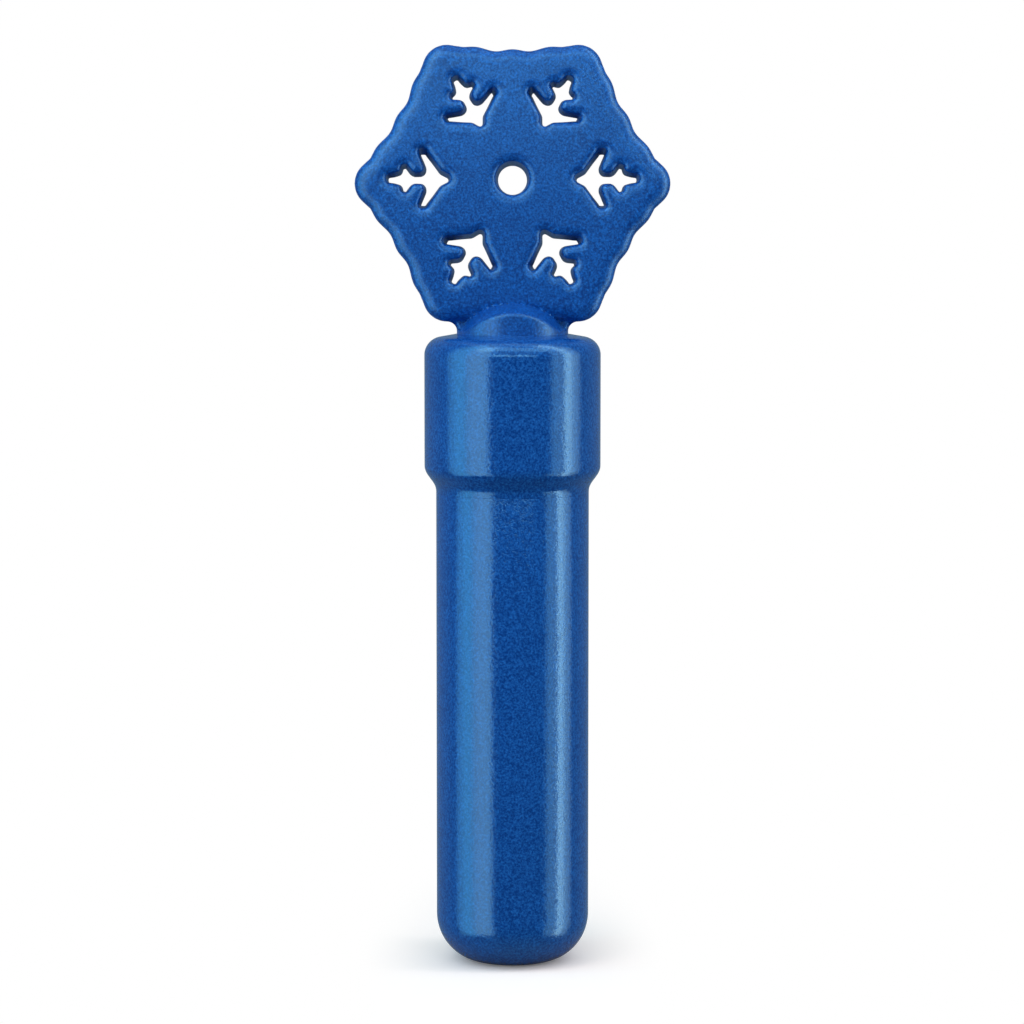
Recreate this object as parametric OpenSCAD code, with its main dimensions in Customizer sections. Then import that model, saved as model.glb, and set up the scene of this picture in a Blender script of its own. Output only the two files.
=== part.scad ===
// Bubble wand: a threaded tube, a screw collar and a snowflake-headed stopper
// that carries the dipping ring.
// Millimetres, +Z up, origin at the middle of the base, snowflake facing -Y.

/* [Body] */
// Outer radius of the tube and of the collar's hem
body_r = 12.5; // [9:0.1:18]
// Height of the tube from the base to its shoulder
body_h = 77.25; // [50:0.05:120]
// Wall of the tube's body
body_wall = 1.3; // [0.8:0.1:2]
// Radius of the flat that the tube stands on
base_flat_r = 5; // [3:0.1:6]
// Height of the rounding round the base
base_round_h = 7.9; // [5:0.1:14]
// Thickness of the tube's floor
floor_t = 1.6; // [1:0.1:3]

/* [Collar] */
// Step from the tube's wall out to the collar's grip
grip_step = 1.9; // [1:0.02:4]
// Height of the collar from its hem to the seat on top
collar_h = 26; // [20:0.1:36]
// Thickness of the collar's top wall
collar_top_t = 2.5; // [1.8:0.1:4]
// Wall of the collar at its hem
hem_wall = 0.85; // [0.6:0.05:1.4]
// Height of the curve from the hem out to the grip
hem_curve_h = 4.75; // [3:0.05:8]
// Radius of the collar's upper edge
collar_round_r = 3; // [1.5:0.1:4]
// Rise of the collar's crown from its rounded edge to its seat
crown_rise = 0.45; // [0.1:0.05:0.9]
// Length of the sleeve that hangs from the collar's top wall into the neck
sleeve_l = 10; // [7:0.5:14]
// Wall of that sleeve
sleeve_wall = 1; // [0.7:0.05:1.4]

/* [Thread] */
// Rise of the thread in one turn
thread_pitch = 3; // [2.4:0.1:4]
// Turns of thread on the neck and in the collar
thread_turns = 1.5; // [1:0.25:2.5]
// Height of either thread above its wall
thread_h = 0.75; // [0.5:0.05:1]
// Width of either thread at its wall
thread_root_w = 1.5; // [1.2:0.05:1.7]
// Width of either thread at its crest
thread_crest_w = 0.8; // [0.5:0.05:1.1]
// Distance from the neck's rim down to the upper end of its thread
thread_drop = 1.6; // [1:0.1:4]
// Wall of the tube's neck
neck_wall = 1.3; // [0.9:0.1:1.8]

/* [Gasket] */
// Thickness of the flat gasket in the collar
gasket_t = 1.2; // [0.8:0.1:2]

/* [Snowflake] */
// Thickness of the snowflake plate
plate_t = 7.4; // [5:0.1:9]
// Rounding of the plate's front and back rims
rim_r = 1.2; // [0.5:0.1:1.6]
// Distance from the plate's middle to the middle of each tip's rounding
tip_reach = 21.7; // [18:0.02:27]
// Radius of each rounded tip
tip_r = 3.92; // [3:0.02:5]
// Distance from the plate's middle to the middle of each side
side_reach = 21.44; // [18:0.02:25]
// How much further out each side lies at its ends than in its middle
side_bow = 0.81; // [0:0.01:1.5]
// Height of the small waves along each side
wave_h = 0.21; // [0:0.01:0.5]
// Length of one small wave
wave_l = 5.72; // [4:0.02:8]
// Radius of the hole in the middle
hang_r = 2.52; // [1.5:0.01:4]
// Height of the pattern's middle above the plate's middle
pattern_up = 0.85; // [0:0.05:1.5]
// Distance from the pattern's middle to the inner point of each branch
branch_start = 9.92; // [8:0.02:11]
// Length of each branch cut-out
branch_l = 11.16; // [7:0.02:11.6]
// Reach of a branch's larger arms to either side
branch_arm = 4.87; // [3:0.01:5.4]
// Gap between the collar's top and the plate's two lowest tips
plate_lift = 1.7; // [1:0.1:4]

/* [Head neck] */
// Width of the head neck's seat on the collar, outside the sleeve's bore
neck_seat_w = 0.76; // [0.6:0.02:1.6]
// Rise of the neck's dome above the plate's lower side
dome_rise = 1.3; // [0.5:0.1:3]
// Radius of the pin under the neck that holds the plug
spigot_r = 3; // [2:0.1:4]
// Length of that pin
spigot_l = 5.5; // [4:0.5:8]

/* [Stopper plug] */
// Length of the plug
plug_l = 13; // [11:0.5:18]
// Thickness of the seal rings
seal_t = 1.36; // [1:0.02:1.8]
// Distance between the two seal rings
seal_step = 4.4; // [3:0.1:6]
// Wall of the plug's skirt
plug_wall = 1.3; // [0.9:0.1:1.6]

/* [Stem and ring] */
// Width across the stem's four ribs
stem_w = 3.8; // [3:0.1:4.6]
// Thickness of each rib of the stem
stem_rib_t = 1.2; // [0.8:0.1:1.6]
// Radius of the pins at the stem's ends
stem_pin_r = 1.2; // [0.9:0.05:1.4]
// Length of those pins
stem_pin_l = 5; // [3:0.5:7]
// Thickness of the dipping ring, from front to back
ring_t = 3.4; // [2.4:0.1:4.4]
// Radial width of the dipping ring
ring_w = 1.7; // [1.2:0.1:2.4]
// Number of ridges that hold the soap film
ridge_count = 32; // [16:2:48]
// Width of each ridge
ridge_w = 0.6; // [0.4:0.05:0.9]
// Height of each ridge above the ring's faces
ridge_h = 0.4; // [0.2:0.05:0.7]
// Height of the ring's lowest point above the tube's floor
ring_floor_gap = 6; // [5:0.5:12]

/* [Hidden] */
$fn = 96;

// Overrun of every cut past the face that it opens
cut = 0.5;
// Hairline gap between the collar's hem and the tube's shoulder
hem_gap = 0.15;
// Clearance of a thread's crest from the facing wall
crest_clear = 0.2;
// Gap between the two threads where they bear on each other
flank_clear = 0.12;
// Depth that a thread is sunk into its wall
thread_sink = 0.25;
// Share of a turn over which a thread rises at either end
thread_lead_share = 0.12;
// Steps of the thread in one turn
thread_steps = 30;
// Running clearance of the sleeve in the tube's neck
sleeve_clear = 0.08;
// Clearance of the gasket from the sleeve and the collar
gasket_clear = 0.12;
// Clearance of the plug in the sleeve
plug_clear = 0.22;
// Clearance of a seal ring from the sleeve and from its groove
seal_clear = 0.03;
// Spare width of a seal ring's groove to either side of the ring
groove_clear = 0.1;
// Clearance of a pressed pin in its socket
press_clear = 0.02;
// Spare depth of a socket past the end of its pin
socket_spare = 0.3;
// Chamfer at the mouths of bores and the ends of pins
edge_chamfer = 0.4;
// Clearance of the dipping ring as it passes through the sleeve
ring_pass_clear = 0.4;
// Wall round the pins of the stem
hub_wall = 1.05;
// Length of the boss on top of the dipping ring
boss_l = 6;
// Depth of the hollow in the plug's underside
plug_hollow_l = 4;
// Edge rounding of the hole in the middle of the plate
hang_round = 0.7;
// Slope at which a side falls away behind a tip's rounding
side_fall_share = 0.5;
// Softness of the hollow where a tip meets a side
tip_blend = 1;
// Height of the straight foot of the head's neck
neck_foot_h = 0.9;
// Reach and thickness of the web between the head's neck and the plate
web_reach = 2.6;
web_t = 2.8;
// Depth that the web is sunk into the neck
web_sink = 0.5;
// Steps in a quarter round
quarter_steps = 8;
// Directions in which the plate's outline is worked out, for each of its six parts
outline_steps = 24;
// Steps in the rounding of the plate's rims
rim_steps = 3;
// Lap of the plate's rim over its flat middle
rim_lap = 0.3;
// Colours of the blue plastic and of the rubber parts
plastic_blue = [0.09, 0.30, 0.60];
plastic_deep = [0.07, 0.26, 0.54];
rubber_grey = [0.72, 0.76, 0.80];

// Half of a branch cut-out, as shares of its length and of its arms' reach
branch_shares = [
    [0, 0],
    [0.008, 0.07],
    [0.03, 0.13],
    [0.155, 0.22],
    [0.405, 0.98],
    [0.425, 1],
    [0.47, 1],
    [0.495, 0.965],
    [0.5, 0.87],
    [0.425, 0.38],
    [0.435, 0.25],
    [0.47, 0.19],
    [0.56, 0.18],
    [0.6, 0.25],
    [0.68, 0.47],
    [0.715, 0.49],
    [0.77, 0.44],
    [0.785, 0.23],
    [0.88, 0.17],
    [0.96, 0.15],
    [0.99, 0.1],
    [1, 0]
];

// Heights and radii that follow from the sizes above
hem_z = body_h + hem_gap;
seat_z = hem_z + collar_h;
roof_z = seat_z - collar_top_t;
rim_z = roof_z - gasket_t;
collar_r = body_r + grip_step;
collar_bore_r = body_r - hem_wall;
neck_r = collar_bore_r - crest_clear - thread_h;
neck_bore_r = neck_r - neck_wall;
bore_r = body_r - body_wall;
sleeve_r = neck_bore_r - sleeve_clear;
sleeve_bore_r = sleeve_r - sleeve_wall;
head_neck_r = sleeve_bore_r + neck_seat_w;
plug_r = sleeve_bore_r - plug_clear;
seal_out_r = sleeve_bore_r - seal_clear;
seal_mid_r = seal_out_r - seal_t / 2;
groove_r = seal_out_r - seal_t - seal_clear;
groove_w = seal_t + 2 * groove_clear;
plug_z = seat_z - plug_l;
seal_low_z = plug_z + (plug_l - seal_step) / 2 - groove_w / 2;
seal_high_z = seal_low_z + seal_step;
hub_r = stem_pin_r + hub_wall;
thread_rise = thread_pitch * thread_turns;
thread_z = rim_z - thread_drop - thread_root_w / 2 - thread_rise;
thread_mid_w = (thread_root_w + thread_crest_w) / 2 + crest_clear / thread_h * (thread_root_w - thread_crest_w) / 2;
plate_low = max(tip_reach * sin(60) + tip_r, side_reach + side_bow + wave_h);
plate_z = seat_z + plate_lift + plate_low;
side_z = plate_z - side_reach;
dome_z = side_z + dome_rise;
side_half = tip_reach * sin(30) - tip_r * sin(40);
ring_r = sqrt(pow(sleeve_bore_r - ring_pass_clear, 2) - pow(ring_t / 2, 2));
ring_z = floor_t + ring_floor_gap + ring_r;
boss_z = ring_z + ring_r + boss_l;
stem_low_z = boss_z;
stem_high_z = plug_z;
collar_edge_r = collar_r - collar_round_r;
crown_angle = atan(crown_rise / (collar_edge_r - head_neck_r));

// Points on an arc of an ellipse, from one angle to another
function arc_points(x, y, rx, ry, from, to, steps) = [
    for (i = [0 : steps]) let (a = from + (to - from) * i / steps) [x + rx * cos(a), y + ry * sin(a)]
];

// Smooth rise from 0 to 1, level and straight at either end
function ease(t) = pow(t, 3) * (10 - 15 * t + 6 * pow(t, 2));

// The larger of two lengths, with a soft change from one to the other
function soft_max(a, b, blend) = let (h = max(blend - abs(a - b), 0) / blend) max(a, b) + h * h * blend / 4;

// Distance of a side from the plate's middle, at a distance s from the side's own middle
function side_distance(s) =
    let (past_end = max(abs(s) - side_half, 0))
    side_reach
    + side_bow * pow(min(abs(s) / side_half, 1), 2)
    + wave_h * cos(360 * s / wave_l)
    - past_end * side_fall_share;

// Distance of the plate's edge from its middle, at an angle from the nearest tip
function edge_distance(from_tip) =
    let (
        from_side = 30 - abs(from_tip),
        side = side_distance(side_reach * tan(from_side)) / cos(from_side),
        under = pow(tip_r, 2) - pow(tip_reach * sin(from_tip), 2),
        tip = under > 0 ? tip_reach * cos(from_tip) + sqrt(under) : 0
    )
    soft_max(side, tip, tip_blend);

// Outline of the plate, drawn in by an inset
function plate_outline(inset) = [
    for (k = [0 : 5], i = [0 : outline_steps - 1])
        let (from_tip = -30 + 60 * i / outline_steps, a = 60 * k + from_tip, r = edge_distance(from_tip) - inset)
            [r * cos(a), r * sin(a)]
];

// One section of a thread, as a closed loop of four points
function thread_section(wall_r, crest_r, z, a, share) =
    let (
        outward = sign(crest_r - wall_r),
        root_r = wall_r - outward * thread_sink,
        top_r = wall_r + outward * (share * thread_h - (1 - share) * thread_sink / 2),
        low = share * thread_crest_w / 2 + (1 - share) * thread_root_w / 4
    )
    [
        for (p = [[root_r, -thread_root_w / 2], [top_r, -low], [top_r, low], [root_r, thread_root_w / 2]])
            [p[0] * cos(a), p[0] * sin(a), z + p[1]]
    ];

// A right-hand thread on a wall, raised towards crest_r
module thread(wall_r, crest_r, start_z) {
    steps = thread_steps * thread_turns;
    lead = thread_lead_share * thread_steps;
    points = [
        for (i = [0 : steps])
            each thread_section(
                wall_r,
                crest_r,
                start_z + thread_pitch * i / thread_steps,
                360 * i / thread_steps,
                min(1, i / lead, (steps - i) / lead)
            )
    ];
    outer = crest_r > wall_r;
    sides = [
        for (i = [0 : steps - 1], j = [0 : 3])
            let (a = 4 * i + j, b = 4 * i + (j + 1) % 4, c = b + 4, d = a + 4)
                each (outer ? [[a, b, c], [a, c, d]] : [[c, b, a], [d, c, a]])
    ];
    last = 4 * steps;
    ends = [[3, 2, 1], [3, 1, 0], [last, last + 1, last + 2], [last, last + 2, last + 3]];
    turned_ends = [for (f = ends) [f[2], f[1], f[0]]];
    polyhedron(points, concat(sides, outer ? ends : turned_ends), convexity = 6);
}

// Outer rounding of the tube's base, from the flat out to the wall
function base_profile() =
    arc_points(base_flat_r, base_round_h, body_r - base_flat_r, base_round_h, -90, 0, quarter_steps + 2);

// Inner rounding of the tube's floor, from the wall in to the flat
function floor_profile() =
    arc_points(
        base_flat_r,
        base_round_h,
        bore_r - base_flat_r,
        base_round_h - floor_t,
        0,
        -90,
        quarter_steps + 2
    );

// The tube: a round-bottomed body, a shoulder and a threaded neck
module tube() {
    shoulder_h = bore_r - neck_bore_r + body_wall;
    color(plastic_blue)
    union() {
        rotate_extrude()
        polygon(concat(
            [[0, 0]],
            base_profile(),
            [
                [body_r, body_h],
                [neck_r, body_h],
                [neck_r, rim_z - edge_chamfer],
                [neck_r - edge_chamfer, rim_z],
                [neck_bore_r, rim_z],
                [neck_bore_r, body_h - body_wall],
                [bore_r, body_h - shoulder_h]
            ],
            floor_profile(),
            [[0, floor_t]]
        ));
        thread(neck_r, neck_r + thread_h, thread_z);
    }
}

// The screw collar: a hem flush with the tube, a thicker grip, a crown and a sleeve inside
module screw_collar() {
    out = collar_r - body_r;
    color(plastic_blue)
    union() {
        rotate_extrude()
        polygon(concat(
            [[collar_bore_r, hem_z]],
            [for (i = [0 : 2 * quarter_steps])
                [body_r + out * ease(i / (2 * quarter_steps)), hem_z + hem_curve_h * i / (2 * quarter_steps)]],
            arc_points(
                collar_edge_r,
                seat_z - crown_rise - collar_round_r,
                collar_round_r,
                collar_round_r,
                0,
                90 - crown_angle,
                quarter_steps
            ),
            [
                [head_neck_r, seat_z],
                [sleeve_bore_r + edge_chamfer, seat_z],
                [sleeve_bore_r, seat_z - edge_chamfer],
                [sleeve_bore_r, roof_z - sleeve_l],
                [sleeve_r - edge_chamfer, roof_z - sleeve_l],
                [sleeve_r, roof_z - sleeve_l + edge_chamfer],
                [sleeve_r, roof_z],
                [collar_bore_r, roof_z]
            ]
        ));
        thread(collar_bore_r, collar_bore_r - thread_h, thread_z - thread_mid_w - flank_clear);
    }
}

// The flat gasket between the collar's top wall and the tube's rim
module collar_gasket() {
    color(rubber_grey)
    translate([0, 0, rim_z])
    difference() {
        cylinder(h = gasket_t, r = collar_bore_r - gasket_clear);
        translate([0, 0, -cut])
        cylinder(h = gasket_t + 2 * cut, r = sleeve_r + gasket_clear);
    }
}

// The rounded rim of the plate: a band with a quarter round to either face and a narrow flat inside it
module plate_rim() {
    count = 6 * outline_steps;
    flat = plate_t / 2 - rim_r;
    rounds = concat(
        [for (i = [0 : rim_steps]) [-90 + 90 * i / rim_steps, -flat]],
        [for (i = [0 : rim_steps]) [90 * i / rim_steps, flat]]
    );
    section = concat(
        [for (p = rounds) [rim_r * (1 - cos(p[0])), p[1] + rim_r * sin(p[0])]],
        [[rim_r + 2 * rim_lap, plate_t / 2], [rim_r + 2 * rim_lap, -plate_t / 2]]
    );
    rings = len(section);
    points = [for (p = section) each [for (q = plate_outline(p[0])) [q[0], q[1], p[1]]]];
    faces = [
        for (j = [0 : rings - 1], i = [0 : count - 1])
            let (
                a = j * count + i,
                b = j * count + (i + 1) % count,
                d = (j + 1) % rings * count + i,
                c = (j + 1) % rings * count + (i + 1) % count
            )
                each [[a, d, c], [a, c, b]]
    ];
    polyhedron(points, faces, convexity = 6);
}

// The flat middle of the plate, with the hole and the six branches cut through it
module plate_middle() {
    difference() {
        translate([0, 0, -plate_t / 2])
        linear_extrude(plate_t)
        polygon(plate_outline(rim_r + rim_lap));
        translate([0, pattern_up, 0])
        union() {
            hang_cut();
            for (k = [0 : 5])
                rotate([0, 0, 60 * k])
                branch_cut();
        }
    }
}

// One branch of the snowflake, cut right through the plate
module branch_cut() {
    half = [for (p = branch_shares) [branch_start + branch_l * p[0], branch_arm * p[1]]];
    other = [for (i = [len(half) - 2 : -1 : 1]) [half[i][0], -half[i][1]]];
    translate([0, 0, -plate_t / 2 - cut])
    linear_extrude(plate_t + 2 * cut)
    polygon(concat(half, other));
}

// The hole in the middle of the plate, with rounded edges
module hang_cut() {
    half = plate_t / 2;
    cylinder(h = plate_t + 2 * cut, r = hang_r, center = true);
    for (side = [0, 1])
        mirror([0, 0, side])
        rotate_extrude()
        polygon(concat(
            [[0, half - hang_round], [hang_r, half - hang_round]],
            arc_points(hang_r + hang_round, half - hang_round, hang_round, hang_round, 180, 90, quarter_steps / 2),
            [[hang_r + hang_round, half + cut], [0, half + cut]]
        ));
}

// Round neck of the head, with a dome that runs into the plate and a pin for the plug
module head_neck() {
    foot_z = seat_z + neck_foot_h;
    rotate_extrude()
    polygon(concat(
        [[0, seat_z], [head_neck_r, seat_z]],
        arc_points(0, foot_z, head_neck_r, dome_z - foot_z, 0, 90, 2 * quarter_steps)
    ));
    translate([0, 0, seat_z - spigot_l])
    cylinder(h = spigot_l + neck_foot_h, r = spigot_r);
}

// Flat web that runs from the sides of the neck into the plate's lower edge
module neck_web() {
    foot_z = seat_z + neck_foot_h / 2;
    rise = side_z + rim_r - foot_z;
    reach = head_neck_r + web_reach;
    right = arc_points(reach, foot_z, web_reach + web_sink, rise, 180, 90, quarter_steps);
    left = [for (i = [len(right) - 1 : -1 : 0]) [-right[i][0], right[i][1]]];
    rotate([90, 0, 0])
    linear_extrude(web_t, center = true)
    polygon(concat(right, left));
}

// The head: a snowflake plate on a round neck
module snowflake_head() {
    color(plastic_blue)
    union() {
        translate([0, 0, plate_z])
        rotate([90, 0, 0])
        union() {
            plate_middle();
            plate_rim();
        }
        head_neck();
        neck_web();
    }
}

// The stopper plug: grooves for two seal rings, a socket above and a hub below
module stopper_plug() {
    hollow_r = groove_r - plug_wall;
    color(plastic_deep)
    difference() {
        translate([0, 0, plug_z])
        cylinder(h = plug_l, r = plug_r);
        for (z = [seal_low_z, seal_high_z])
            translate([0, 0, z])
            rotate_extrude()
            polygon([
                [groove_r, -groove_w / 2],
                [plug_r + cut, -groove_w / 2],
                [plug_r + cut, groove_w / 2],
                [groove_r, groove_w / 2]
            ]);
        translate([0, 0, seat_z - spigot_l - socket_spare])
        cylinder(h = spigot_l + socket_spare + cut, r = spigot_r + press_clear);
        translate([0, 0, plug_z - cut])
        difference() {
            cylinder(h = cut + plug_hollow_l, r = hollow_r);
            translate([0, 0, -cut])
            cylinder(h = plug_hollow_l + 3 * cut, r = hub_r);
        }
        translate([0, 0, plug_z - cut])
        cylinder(h = cut + stem_pin_l + socket_spare, r = stem_pin_r + press_clear);
    }
}

// A seal ring of round section at a height
module seal_ring(z) {
    color(rubber_grey)
    translate([0, 0, z])
    rotate_extrude()
    translate([seal_mid_r, 0])
    circle(r = seal_t / 2, $fn = 32);
}

module seal_ring_upper() {
    seal_ring(seal_high_z);
}

module seal_ring_lower() {
    seal_ring(seal_low_z);
}

// The stem: four ribs in a cross, with a pin at either end
module wand_stem() {
    stem_l = stem_high_z - stem_low_z;
    color(plastic_deep)
    union() {
        translate([0, 0, stem_low_z])
        linear_extrude(stem_l)
        union() {
            square([stem_w, stem_rib_t], center = true);
            square([stem_rib_t, stem_w], center = true);
        }
        translate([0, 0, stem_low_z - stem_pin_l])
        cylinder(h = stem_l + 2 * stem_pin_l, r = stem_pin_r);
    }
}

// The dipping ring, with ridges that hold the film and a boss for the stem
module bubble_ring() {
    core_t = ring_t - 2 * ridge_h;
    color(plastic_deep)
    difference() {
        union() {
            translate([0, 0, ring_z])
            rotate([90, 0, 0])
            union() {
                difference() {
                    cylinder(h = core_t, r = ring_r, center = true);
                    cylinder(h = core_t + 2 * cut, r = ring_r - ring_w, center = true);
                }
                for (k = [0 : ridge_count - 1])
                    rotate([0, 0, 360 * k / ridge_count])
                    translate([ring_r - ring_w - ridge_h / 2, -ridge_w / 2, -ring_t / 2])
                    cube([ring_w, ridge_w, ring_t]);
            }
            translate([0, 0, ring_z + ring_r - ring_w / 2])
            cylinder(h = boss_l + ring_w / 2, r = hub_r);
        }
        translate([0, 0, boss_z - stem_pin_l - socket_spare])
        cylinder(h = stem_pin_l + socket_spare + cut, r = stem_pin_r + press_clear);
    }
}

tube();
screw_collar();
collar_gasket();
snowflake_head();
stopper_plug();
seal_ring_upper();
seal_ring_lower();
wand_stem();
bubble_ring();
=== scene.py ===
"""Bubble wand: the finish of a threaded tube, a screw collar and a snowflake-headed stopper wand.

The pieces are built in millimetres, and finish_mesh turns them into metres. Lamps and floor are in metres.
"""
import math

import bmesh
import bpy
import numpy as np
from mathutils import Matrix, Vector
from mathutils.geometry import delaunay_2d_cdt


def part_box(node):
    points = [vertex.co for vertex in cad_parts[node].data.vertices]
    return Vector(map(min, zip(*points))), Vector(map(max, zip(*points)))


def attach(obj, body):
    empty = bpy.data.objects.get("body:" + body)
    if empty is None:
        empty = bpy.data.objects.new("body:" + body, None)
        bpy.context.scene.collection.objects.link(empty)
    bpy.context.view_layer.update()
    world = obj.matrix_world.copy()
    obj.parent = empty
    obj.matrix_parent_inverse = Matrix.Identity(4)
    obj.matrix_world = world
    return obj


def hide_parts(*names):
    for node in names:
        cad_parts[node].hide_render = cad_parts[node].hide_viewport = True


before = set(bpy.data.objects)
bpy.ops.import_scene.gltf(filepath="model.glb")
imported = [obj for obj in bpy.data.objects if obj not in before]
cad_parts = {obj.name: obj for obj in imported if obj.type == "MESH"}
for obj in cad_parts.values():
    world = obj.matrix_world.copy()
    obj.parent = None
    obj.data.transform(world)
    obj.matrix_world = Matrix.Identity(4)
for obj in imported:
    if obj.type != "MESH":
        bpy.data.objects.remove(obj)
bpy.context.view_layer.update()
MM = 0.001
IMAGE_PX = 1024


def span(name):
    """Lowest and highest corner of a CAD node, in millimetres."""
    low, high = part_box(name)
    return [v / MM for v in low], [v / MM for v in high]


# Heights and radii of the pieces, read from the frame
TUBE_HIGH = span("tube")[1]
COLLAR_LOW, COLLAR_HIGH = span("screw_collar")
GASKET_LOW, GASKET_HIGH = span("collar_gasket")
HEAD_HIGH = span("snowflake_head")[1]
PLUG_LOW, PLUG_HIGH = span("stopper_plug")
UPPER_LOW, UPPER_HIGH = span("seal_ring_upper")
LOWER_LOW, LOWER_HIGH = span("seal_ring_lower")
STEM_LOW, STEM_HIGH = span("wand_stem")
RING_LOW, RING_HIGH = span("bubble_ring")

BODY_R = TUBE_HIGH[0]
RIM_Z = TUBE_HIGH[2]
HEM_Z = COLLAR_LOW[2]
SEAT_Z = COLLAR_HIGH[2]
COLLAR_R = COLLAR_HIGH[0]
PLUG_R = PLUG_HIGH[0]

# Small roundings of moulded edges, and the fineness of turned pieces
EDGE_R = 0.18
SHARP_ANGLE = math.radians(40)
LATHE_STEPS = 160

# Tube
BODY_WALL = 1.3
BASE_FLAT_R = 5.0
BASE_ROUND_H = 7.9
FLOOR_T = 1.6
HEM_GAP = 0.01
HEM_EDGE_R = 0.02
SHOULDER_Z = HEM_Z - HEM_GAP
NECK_R = 10.7
NECK_BORE_R = 9.4

# Collar
HEM_WALL = 0.85
HEM_CURVE_H = 4.75
HEM_CURVE_STEPS = 32
COLLAR_ROUND_R = 3.0
CROWN_RISE = 0.45
TOP_T = 2.5
SLEEVE_L = 10.0
SLEEVE_R = 9.32
SLEEVE_BORE_R = 8.32
COLLAR_BORE_R = BODY_R - HEM_WALL
ROOF_Z = SEAT_Z - TOP_T
GASKET_CLEAR = 0.12
GASKET_EDGE_R = 0.15

# Thread
THREAD_PITCH = 3.0
THREAD_TURNS = 1.5
THREAD_H = 0.75
THREAD_ROOT_W = 1.5
THREAD_CREST_W = 0.8
THREAD_DROP = 1.6
THREAD_SINK = 0.25
THREAD_STEPS = 72
THREAD_LEAD_TURNS = 0.12
THREAD_Z = RIM_Z - THREAD_DROP - THREAD_ROOT_W / 2 - THREAD_PITCH * THREAD_TURNS
COLLAR_THREAD_DROP = 1.36

# Snowflake plate: its thickness, its rim's rounding as width and depth, and its wavy outline, with each tip's
# trim anticlockwise from the right
PLATE_HALF = 3.7
PUFF = 0.55
RIM_ROUND = (2.4, 1.75)
TIP_REACH = 21.7
TIP_R = 3.92
TIP_BLEND = 1.0
TIP_TRIMS = (0, 0.4, 0.4, 0, 0.4, 0.4)
TIP_END_ANGLE = math.radians(40)
SIDE_REACH = 21.44
SIDE_BOW = 0.81
SIDE_FALL = 0.5
WAVE_H = 0.21
WAVE_L = 5.72
PLATE_Z = HEAD_HIGH[2] - TIP_REACH * math.sin(math.pi / 3) - TIP_R

# Holes of the snowflake: their lips' rounding as width and depth, the waist halfway through the plate, and each
# branch's start and scale anticlockwise from the right
PATTERN_UP = 0.85
HANG_R = 2.76
HOLE_ROUND = (1.4, 0.85)
HOLE_DRAFT = 0.42
WING_DRAFT = 0.07
WAIST_DROP = 0.33
BRANCH_L = 11.16
BRANCH_ARM = 4.87
BRANCH_STARTS = (9.98, 9.7, 9.7, 9.98, 9.7, 9.7)
BRANCH_SCALES = (0.95, 0.83, 0.83, 0.95, 0.9, 0.9)

# Half of a branch cut-out, as shares of its length and of its arms' reach
BRANCH_SHARES = [
    (0, 0), (0.008, 0.07), (0.03, 0.13), (0.145, 0.26), (0.342, 0.87), (0.365, 0.97),
    (0.4, 1.0), (0.455, 1.0), (0.49, 0.96), (0.5, 0.86), (0.415, 0.38), (0.42, 0.27),
    (0.45, 0.2), (0.56, 0.19), (0.6, 0.25), (0.67, 0.46), (0.7, 0.48), (0.76, 0.43),
    (0.785, 0.24), (0.88, 0.18), (0.96, 0.16), (0.99, 0.1), (1, 0),
]

# Neck of the snowflake: its fillets and the web in them, its dome on the plate's faces, and the pin underneath
HEAD_NECK_R = 9.08
NECK_FILLET_R = 1.6
NECK_FILLET_END = 100
NECK_CLEAR = 0.15
FILLET_SEARCH = 0.5
PLATE_LOW_SHARE = 0.7
WEB_R = 1.5
WEB_HALF = 1.2
WEB_FADE = 1.2
DOME_FOOT_H = 0.9
DOME_TOP_H = 5.0
DOME_HALF = 8.4
DOME_BOW = 0.8
DOME_EDGE = 1.8
DOME_EDGE_SHARE = 0.8
SPIGOT_R = 3.0
SPIGOT_L = 5.5
SPIGOT_SUNK = 1.0

# Fineness of the head's mesh, and how far its inner points stay from its edges
TIP_STEPS = 84
ROUGH_STEP = 0.1
BRANCH_STEP = 0.18
SOFT_PASSES = 4
ROW_TURN = 15
ROW_BEYOND = 0.25
ROW_KEEP_SHARE = 0.93
GRID_STEP = 0.62
GRID_CLEAR = 0.5
DOME_STEP = 0.3
DOME_CLEAR = 0.35
DOME_GRID_HALF = 11.5
DOME_GRID_H = 8
MERGE = 1e-5
THIN = 1e-3

# Plug, and the hub that takes a pin of the stem, in the plug and on the dipping ring alike
GROOVE_R = 6.9
GROOVE_HALF = 0.78
HOLLOW_R = 5.6
HOLLOW_L = 4.0
SOCKET_R = 3.02
SOCKET_CLEAR = 0.3
HUB_R = 2.25
HUB_BORE_R = 1.22
HUB_BORE_L = 5.3

# Stem
STEM_RIB_HALF = 0.6
STEM_CORNER = 0.12
STEM_PIN_R = 1.2
STEM_PIN_L = 5.0
STEM_LEVELS = 24

# Dipping ring
RING_W = 1.7
RING_HALF_T = 1.7
RING_ROUND_SHARES = (0.4, 0.3)
RIDGES = 32
RIDGE_STEPS = 10
RIDGE_H = 0.4
RIDGE_POWER = 1.6
RIDGE_INWARD_SHARE = 0.5


def arc(x, y, rx, ry, start, end, steps):
    """Points on an arc of an ellipse, from one angle to another, in degrees."""
    angles = np.radians(np.linspace(start, end, steps + 1))
    return [(x + rx * math.cos(a), y + ry * math.sin(a)) for a in angles]


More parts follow.
